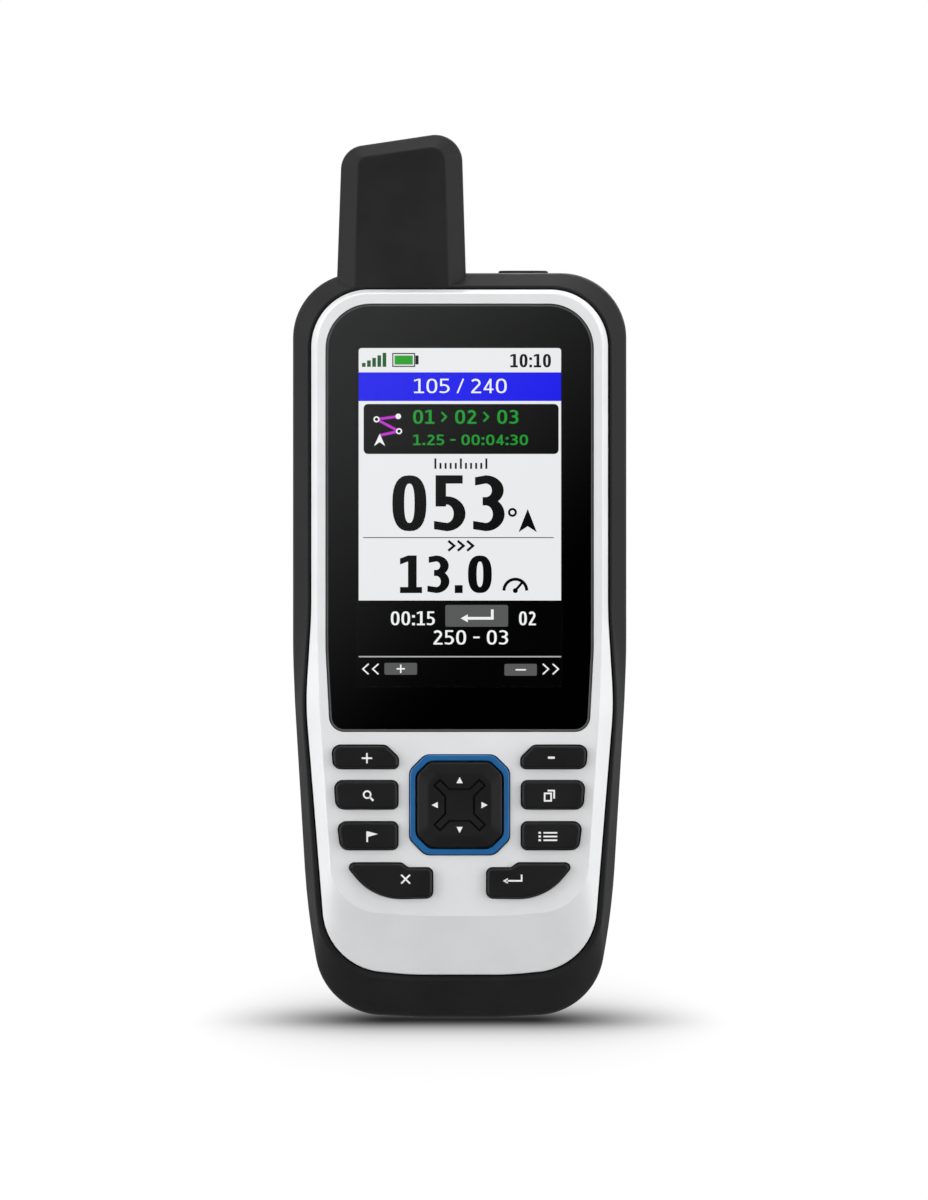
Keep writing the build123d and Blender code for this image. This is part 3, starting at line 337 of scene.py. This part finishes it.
# the window's chamfer, between its face and its sides, painted grey as a highlight for the light its polished
# edge catches, and its bonded back, which reflects nothing
FACES_SQUARELY = 0.97
FACES_SIDEWAYS = 0.2
window = NODES["display_window"].data
# painted highlight: an opaque grey for the chamfer in place of the light it reflects
window.materials.append(moulded("painted_edge_highlight", (0.11, 0.11, 0.112), 0.5, 0.1, 0.002, 0.05))
window.materials.append(window_material("bonded_back", 1.0))
for polygon in window.polygons:
    if FACES_SIDEWAYS < -polygon.normal.y < FACES_SQUARELY:
        polygon.material_index = 1
    elif polygon.normal.y > FACES_SQUARELY:
        polygon.material_index = 2

PRINT_WHITE = moulded("print_white", (0.86, 0.86, 0.86), 0.45, 0.1, 0.001, 0.02)
LIT_WHITE = lit("lit_white", (0.875, 0.88, 0.885))
LIT_BLACK = lit("lit_black", (0.001, 0.001, 0.001))
LIT_INK = lit("lit_ink", (0.004, 0.004, 0.004), 0.3)
LIT_BLUE = lit("lit_blue", (0.008, 0.008, 0.80))
LIT_CARD = lit("lit_card", (0.001, 0.001, 0.001))
LIT_GREEN = lit("lit_green", (0.02, 0.33, 0.02))
LIT_TEXT_GREEN = lit("lit_text_green", (0.012, 0.31, 0.03))
LIT_SIGNAL = lit("lit_signal", (0.008, 0.10, 0.02))
LIT_MAGENTA = lit("lit_magenta", (0.52, 0.03, 0.60))
LIT_GREY = lit("lit_grey", (0.10, 0.10, 0.10))
LIT_RULE = lit("lit_rule", (0.45, 0.45, 0.46))


# ---- flat printed and displayed shapes ------------------------------------------------------
# Heights of the display picture and of the legends are measured from a level this far above the underside.
DATUM = 0.8


def arc(x, z, radius, start, end, steps=10, tall=None):
    """Points along an arc, in degrees anticlockwise from +X; an upright radius makes it oval."""
    turns = [math.radians(start + (end - start) * i / steps) for i in range(steps + 1)]
    return [(x + radius * math.cos(a), z + (tall or radius) * math.sin(a)) for a in turns]


def oval(x, z, wide, tall, steps=32, square=2.5):
    """A closed oval, a little squarer than an ellipse."""
    points = []
    for i in range(steps):
        c = math.cos(2 * math.pi * i / steps)
        s = math.sin(2 * math.pi * i / steps)
        points.append((x + wide * math.copysign(abs(c) ** (2 / square), c),
                       z + tall * math.copysign(abs(s) ** (2 / square), s)))
    return points


def rounded_box(x0, x1, z0, z1, radius=0.0):
    """A rectangle with rounded corners, as points."""
    if radius == 0:
        return [(x0, z0), (x1, z0), (x1, z1), (x0, z1)]
    return (arc(x1 - radius, z0 + radius, radius, -90, 0, 6) + arc(x1 - radius, z1 - radius, radius, 0, 90, 6)
            + arc(x0 + radius, z1 - radius, radius, 90, 180, 6)
            + arc(x0 + radius, z0 + radius, radius, 180, 270, 6))


def bar(a, b, width):
    """A straight square-ended stroke from a to b."""
    along = (Vector(b) - Vector(a)).normalized() * (width / 2)
    side = Vector((-along.y, along.x))
    a, b = Vector(a), Vector(b)
    return [tuple(a - side), tuple(b - side), tuple(b + side), tuple(a + side)]


def stroke(points, width):
    """An open line of several stretches, mitred at its corners, as one closed outline."""
    left, right = [], []
    points = [Vector(p) for p in points]
    for i, point in enumerate(points):
        before = (point - points[i - 1]).normalized() if i else None
        after = (points[i + 1] - point).normalized() if i + 1 < len(points) else None
        ahead = after if before is None else before
        behind = before if after is None else after
        middle = (ahead + behind).normalized()
        side = Vector((-middle.y, middle.x))
        reach = width / 2 / max(0.35, middle.dot(ahead))
        left.append(tuple(point + side * reach))
        right.append(tuple(point - side * reach))
    return right + left[::-1]


def ring(x, z, radius, width, steps=24):
    """A round line, as its outer and inner outlines."""
    return [arc(x, z, radius + width / 2, 0, 360 - 360 / steps, steps - 1),
            arc(x, z, radius - width / 2, 0, 360 - 360 / steps, steps - 1)]


def frame_line(x0, x1, z0, z1, width):
    """A rectangular line, as its outer and inner outlines."""
    half = width / 2
    return [rounded_box(x0 - half, x1 + half, z0 - half, z1 + half),
            rounded_box(x0 + half, x1 - half, z0 + half, z1 - half)]


def plus(x, z, reach, width, turned=0):
    """A plus sign, or a cross when it is turned by 45 degrees."""
    h = width / 2
    corners = [(h, h), (h, reach), (-h, reach), (-h, h), (-reach, h), (-reach, -h), (-h, -h), (-h, -reach),
               (h, -reach), (h, -h), (reach, -h), (reach, h)]
    c, s = math.cos(math.radians(turned)), math.sin(math.radians(turned))
    return [(x + u * c - v * s, z + u * s + v * c) for u, v in corners]


def has_holes(shape):
    """Whether a shape is a list of outlines, and not one outline."""
    return isinstance(shape[0][0], (tuple, list))


def moved(shapes, x, z):
    """Shapes shifted to a place."""
    return [moved(shape, x, z) if has_holes(shape) else [(u + x, v + z) for u, v in shape]
            for shape in shapes]


def flat(name, shapes, depth, material, body, thick=0.02):
    """A thin flat piece facing the user, from closed outlines in millimetres.

    A shape is one outline, or a list of outlines of which the later ones are holes in the first.
    """
    half = thick / 2
    solid = bmesh.new()
    for shape in shapes:
        loops = shape if has_holes(shape) else [shape]
        corners = [point for loop in loops for point in loop]
        front, back = [[solid.verts.new((x * MM, (-depth + side) * MM, (z + DATUM) * MM)) for x, z in corners]
                       for side in (-half, half)]
        for a, b, c in tessellate_polygon([[(x, z, 0) for x, z in loop] for loop in loops]):
            solid.faces.new((front[a], front[b], front[c]))
            solid.faces.new((back[c], back[b], back[a]))
        start = 0
        for loop in loops:
            for i in range(len(loop)):
                here, ahead = start + i, start + (i + 1) % len(loop)
                solid.faces.new((front[here], front[ahead], back[ahead], back[here]))
            start += len(loop)
    bmesh.ops.recalc_face_normals(solid, faces=solid.faces)
    mesh = bpy.data.meshes.new(name)
    solid.to_mesh(mesh)
    solid.free()
    mesh.materials.append(material)
    piece = bpy.data.objects.new(name, mesh)
    bpy.context.scene.collection.objects.link(piece)
    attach(piece, body)
    return piece


def bowl(tips, centre, right, low, high, pen, thin):
    """A bowl open to the left, thick at its side and thin at its ends.

    Each tip, the upper one first, says where the end starts and how far it hangs in.
    """
    (upper, upper_dip), (lower, lower_dip) = tips
    middle, tall = (low + high) / 2, (high - low) / 2
    outer = arc(centre, middle, right - centre, 90, -90, 16, tall)
    inner = arc(centre, middle, right - centre - pen, -90, 90, 16, tall - thin)
    return ([(upper, high - upper_dip)] + outer + [(lower, low + lower_dip), (lower, low + lower_dip + thin)]
            + inner + [(upper, high - upper_dip - thin)])


def sign(character, x0, x1, z0, z1, pen):
    """The strokes of one figure or sign in a box."""
    wide, tall, middle = x1 - x0, z1 - z0, (x0 + x1) / 2
    thin = pen * 0.70
    line = pen * 0.88
    centre = x0 + wide * 0.40
    dip = tall * 0.035
    if character == "0":
        return [[oval(middle, z0 + tall / 2, wide / 2, tall / 2),
                 oval(middle, z0 + tall / 2, wide / 2 - pen, tall / 2 - thin)]]
    if character == "1":
        left, right = middle - pen * 0.35, middle + pen * 0.65
        return [[(left, z0 + thin), (x0, z0 + thin), (x0, z0), (x1, z0), (x1, z0 + thin), (right, z0 + thin),
                 (right, z1), (left, z1), (x0, z1 - tall * 0.08), (x0, z1 - tall * 0.08 - thin),
                 (left, z1 - thin)]]
    if character == "2":
        round_z = tall * 0.29 - line / 2
        top = arc(x0 + wide * 0.44, z1 - line / 2 - round_z, wide * 0.5 - line / 2, 150, -30, 12, round_z)
        return [stroke(top + [(x0 + line * 0.6, z0 + thin * 0.9)], line), rounded_box(x0, x1, z0, z0 + thin)]
    if character == "3":
        waist = z0 + tall * 0.535
        tip = (x0 + wide * 0.30, 0)
        start, right = (x0 + wide * 0.06, dip), x1 - wide * 0.03
        return [bowl([start, tip], centre, right, waist - thin / 2, z1, pen, thin),
                bowl([tip, (x0, dip)], centre, x1, z0, waist + thin / 2, pen, thin)]
    if character == "4":
        stem = x1 - wide * 0.3
        cross = z0 + tall * 0.26
        return [rounded_box(stem - line / 2, stem + line / 2, z0, z1),
                rounded_box(x0, x1, cross - thin / 2, cross + thin / 2),
                bar((x0 + line * 0.4, cross), (stem - line * 0.1, z1 - line * 0.4), line * 0.9)]
    if character == "5":
        left, high = x0 + wide * 0.05, z0 + tall * 0.625
        return [rounded_box(left, x1 - wide * 0.09, z1 - thin, z1),
                rounded_box(left, left + line, high - dip - thin, z1),
                bowl([(left, dip), (x0, dip)], centre, x1, z0, high, pen, thin)]
    if character in ":.":
        dots = [rounded_box(x0, x1, z, z + pen) for z in (z0, z0 + tall * 0.55)]
        return dots if character == ":" else dots[:1]
    if character == "/":
        return [bar((x0, z0), (x1, z1), thin)]
    if character == "-":
        return [rounded_box(x0, x1, z0 + (tall - thin) / 2, z0 + (tall + thin) / 2)]
    return [stroke([(x0, z0 + tall * 0.16), (x1 - thin, z0 + tall / 2), (x0, z1 - tall * 0.16)], thin)]


def figures(text, x0, x1, z0, z1, pen):
    """A row of figures and signs that fills a box."""
    share = {"0": 1.08, ":": 0.36, ".": 0.36, "/": 0.6, "-": 0.7, ">": 0.7, " ": 0.3}
    gap = 0.24
    unit = (x1 - x0) / (sum(share.get(c, 1.0) for c in text) + gap * (len(text) - 1))
    shapes = []
    left = x0
    for character in text:
        wide = share.get(character, 1.0) * unit
        if character != " ":
            shapes += sign(character, left, left + wide, z0, z1, min(pen, wide))
        left += wide + gap * unit
    return shapes


def return_arrow(x, z, half, tall, width):
    """The bent arrow of an enter key: down at the right, then to the left."""
    head = tall * 0.62
    low = z - tall * 0.5 + head * 0.5
    left, right, base = x - half, x + half, x - half + head * 0.9
    return [stroke([(right, z + tall / 2), (right, low), (left + head * 0.6, low)], width),
            [(base, low - head / 2), (base, low + head / 2), (left, low)]]


# ---- the lit display ------------------------------------------------------------------------
GLOW = depth_of("lcd_panel") + 0.05
LAYER = 0.035
SCREEN = (-20.4, 20.5, 66.8, 134.9)


def show(name, shapes, layer, material):
    """A flat shape of the display picture."""
    return flat("screen_" + name, shapes, GLOW + layer * LAYER, material, "housing", 0.01)


def status_and_title(left, right, high):
    """Signal bars, battery, clock and the blue title bar."""
    show("status_bar", [rounded_box(left, right, 129.9, high, 0.6)], 1, LIT_WHITE)
    show("title_bar", [rounded_box(left, right, 124.2, 130.0)], 2, LIT_BLUE)
    start, step, wide, low = -19.74, 1.045, 0.74, 131.1
    bars = [rounded_box(start + step * i, start + wide + step * i, low, low + 0.8 + 0.51 * i)
            for i in range(5)]
    show("signal", bars, 2, LIT_SIGNAL)
    show("battery_line", [frame_line(-13.5, -9.1, 131.2, 133.8, 0.22),
                          rounded_box(-8.95, -8.3, 131.6, 133.4)], 2, LIT_INK)
    show("battery_fill", [rounded_box(-13.15, -9.45, 131.55, 133.4)], 2, LIT_GREEN)
    show("clock", figures("10:10", 10.25, 18.45, 131.0, 133.7, 0.58), 2, LIT_INK)
    show("title", figures("105 / 240", -9.2, 9.5, 125.8, 128.7, 0.44), 3, LIT_WHITE)


def route_card():
    """A dark card with a route sketch and two rows of green figures."""
    show("card", [rounded_box(-19.4, 20.0, 113.5, 123.6, 0.9)], 2, LIT_CARD)
    first, last, third = (-16.8, 120.5), (-12.4, 121.1), (-12.25, 118.1)
    show("route", [stroke([last, first, third, (-16.0, 117.3)], 0.55)], 3, LIT_MAGENTA)
    show("route_points", [oval(*first, 0.62, 0.62, square=2), oval(*third, 0.62, 0.62, square=2),
                          oval(*last, 0.56, 0.56, square=2)], 4, LIT_WHITE)
    show("route_holes", [oval(*first, 0.34, 0.34, square=2), oval(*third, 0.34, 0.34, square=2)], 5, LIT_CARD)
    show("route_arrow", [[(-16.15, 117.6), (-15.05, 115.1), (-16.15, 115.9), (-17.3, 115.1)]], 4, LIT_WHITE)
    show("legs", figures("01 > 02 > 03", -9.4, 11.9, 119.6, 122.4, 0.54), 3, LIT_TEXT_GREEN)
    show("leg_range", figures("1.25 - 00:04:30", -9.4, 13.8, 115.3, 117.4, 0.43), 3, LIT_TEXT_GREEN)


def readings(left, right):
    """Heading above a rule, speed below it, each with a small sign over it and one beside it."""
    first, step, half = -4.9, 1.03, 0.2
    ticks = [rounded_box(first + step * i - half, first + step * i + half, 110.5,
                         112.6 if i % 5 == 0 else 111.7) for i in range(11)]
    show("heading_scale", ticks, 3, LIT_INK)
    show("heading", figures("053", -13.6, 9.1, 97.9, 109.2, 2.4), 3, LIT_INK)
    show("degree", [ring(10.67, 101.7, 0.68, 0.46)], 3, LIT_INK)
    show("north_mark", [[(13.75, 102.4), (15.6, 97.7), (13.75, 98.9), (11.9, 97.7)]], 3, LIT_INK)
    show("rule", [rounded_box(left + 0.9, right - 1.5, 96.51, 96.7)], 2, LIT_GREY)
    show("speed_scale", [stroke([(x, 93.95), (x + 1.2, 94.95), (x, 95.95)], 0.5) for x in (-2.3, -0.4, 1.5)],
         3, LIT_INK)
    show("speed", figures("13.0", -12.05, 6.5, 85.4, 93.0, 1.75), 3, LIT_INK)
    dial = (11.25, 85.9)
    show("speed_dial", [stroke(arc(*dial, 2.3, 0, 180, 16), 0.62), bar(dial, (12.6, 87.5), 0.5),
                        oval(*dial, 0.5, 0.5, square=2)], 3, LIT_INK)


def footer(left, right):
    """Two rows of figures round a grey chip, and the soft keys under a rule."""
    show("footer_first", figures("00:15", -13.9, -5.0, 78.9, 81.7, 0.5), 2, LIT_WHITE)
    show("footer_chip", [rounded_box(-2.9, 9.8, 78.6, 83.0, 0.4)], 2, LIT_GREY)
    show("footer_enter", return_arrow(3.4, 80.8, 3.2, 2.6, 0.55), 3, LIT_WHITE)
    show("footer_last", figures("02", 12.0, 15.4, 78.9, 81.7, 0.5), 2, LIT_WHITE)
    show("footer_second", figures("250 - 03", -5.3, 9.8, 75.0, 77.9, 0.5), 2, LIT_WHITE)
    show("soft_rule", [rounded_box(left, right, 72.42, 72.68)], 2, LIT_RULE)
    for side, reach, places in (("left", -1.15, (-16.4, -18.4)), ("right", 1.15, (16.8, 18.8))):
        tips = [stroke([(x, 71.1), (x + reach, 70.05), (x, 69.0)], 0.28) for x in places]
        show("soft_" + side, tips, 2, LIT_WHITE)
    show("chip_plus", [rounded_box(-15.2, -8.6, 68.9, 71.3, 0.3)], 2, LIT_GREY)
    show("chip_plus_sign", [plus(-11.9, 70.1, 0.84, 0.3)], 3, LIT_WHITE)
    show("chip_minus", [rounded_box(9.05, 15.6, 68.7, 71.1, 0.3)], 2, LIT_GREY)
    show("chip_minus_sign", [rounded_box(11.3, 13.4, 69.75, 70.05)], 3, LIT_WHITE)


def display_picture():
    """A generic navigation page that uses figures and signs only."""
    left, right, low, high = SCREEN
    show("ground", [rounded_box(left - 0.2, right + 0.2, low - 0.2, high)], 0, LIT_BLACK)
    show("page", [rounded_box(left, right, 83.9, 130.2)], 1, LIT_WHITE)
    status_and_title(left, right, high)
    route_card()
    readings(left, right)
    footer(left, right)


display_picture()


# ---- printed key legends --------------------------------------------------------------------
LINE = 0.34
INK_LIFT = 0.012


def legends():
    """White signs printed on the keys and arrowheads on the rocker."""
    top = depth_of("find_key") + INK_LIFT
    rows = (-0.75, 0, 0.75)
    signs = {
        "zoom_in_key": moved([plus(0, 0, 1.05, 0.33)], -18.7, 52.1),
        "zoom_out_key": moved([rounded_box(-0.68, 0.68, -0.22, 0.22)], 18.5, 52.2),
        "find_key": moved([ring(-0.25, 0.25, 0.7, LINE), bar((0.2, -0.2), (1.0, -1.0), 0.42)], -18.4, 44.5),
        "page_key": moved([frame_line(-0.95, 0.35, -1.0, 0.5, LINE),
                           stroke([(-0.35, 1.05), (0.95, 1.05), (0.95, -0.55)], LINE)], 18.1, 44.5),
        "mark_key": moved([bar((-0.95, -1.1), (-0.95, 1.05), LINE),
                           [(-0.8, 1.05), (1.2, 0.5), (-0.8, -0.1)]], -17.7, 36.3),
        "menu_key": moved([rounded_box(-0.9, 1.9, z - 0.16, z + 0.16) for z in rows]
                          + [rounded_box(-1.9, -1.4, z - 0.2, z + 0.2) for z in rows], 17.8, 36.3),
        "quit_key": moved([plus(0, 0, 1.25, LINE, 45)], -10.9, 27.7),
        "enter_key": moved(return_arrow(0, 0, 1.9, 1.8, LINE), 10.6, 27.7),
    }
    for key, shapes in signs.items():
        flat(key + "_legend", shapes, top, PRINT_WHITE, key)
    foot, half, tip = 4.4, 0.64, 5.65
    low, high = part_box("rocker_cap")
    centre = (low[2] + high[2]) / 2 / MM - DATUM
    arrows = [[(-half, foot), (half, foot), (0, tip)], [(half, -foot), (-half, -foot), (0, -tip)],
              [(-foot, half), (-foot, -half), (-tip, 0)], [(foot, -half), (foot, half), (tip, 0)]]
    flat("rocker_arrows", moved(arrows, 0, centre), depth_of("rocker_cap") + INK_LIFT, PRINT_WHITE,
         "rocker_cap")


legends()


# ---- floor ----------------------------------------------------------------------------------
def floor():
    """A white, self-lit studio floor with a soft shadow painted into its glow where the navigator stands."""
    made, tree, surface = shader("studio_floor")
    place = tree.nodes.new("ShaderNodeTexCoord")
    split = tree.nodes.new("ShaderNodeSeparateXYZ")
    tree.links.new(place.outputs["Object"], split.inputs[0])
    across, away = split.outputs[:2]
    # painted shadow: the glow is dimmed in a soft patch around and just in front of the foot, in place of a
    # cast shadow
    side = spread(tree, math_node(tree, "ABSOLUTE", across, 0), 0.014, 0.058, 1.0, 0.0)
    shifted = math_node(tree, "ADD", away, 0.0185)
    nearer = math_node(tree, "DIVIDE", shifted, -0.039)
    further = math_node(tree, "DIVIDE", shifted, 0.052)
    fall = math_node(tree, "POWER", math_node(tree, "MAXIMUM", nearer, further), 2.2)
    dark = math_node(tree, "DIVIDE", side, math_node(tree, "ADD", fall, 1.0))
    tree.links.new(math_node(tree, "SUBTRACT", 1.02, dark), surface.inputs["Emission Strength"])
    surface.inputs["Emission Color"].default_value = (1, 1, 1, 1)
    tree.links.new(tint(tree, noise(tree, 60.0), (0.001, 0.001, 0.001), (0.002, 0.002, 0.002)),
                   surface.inputs["Base Color"])
    surface.inputs["Roughness"].default_value = 0.9
    surface.inputs["Specular IOR Level"].default_value = 0.0
    mesh = bpy.data.meshes.new("floor")
    reach = 8.0
    mesh.from_pydata([(-reach, -reach, 0), (reach, -reach, 0), (reach, reach, 0), (-reach, reach, 0)], [],
                     [(0, 1, 2, 3)])
    mesh.materials.append(made)
    ground = bpy.data.objects.new("floor", mesh)
    ground.location.z = -0.02 * MM
    ground.visible_diffuse = False
    ground.visible_glossy = False
    ground.visible_shadow = False
    bpy.context.scene.collection.objects.link(ground)


floor()
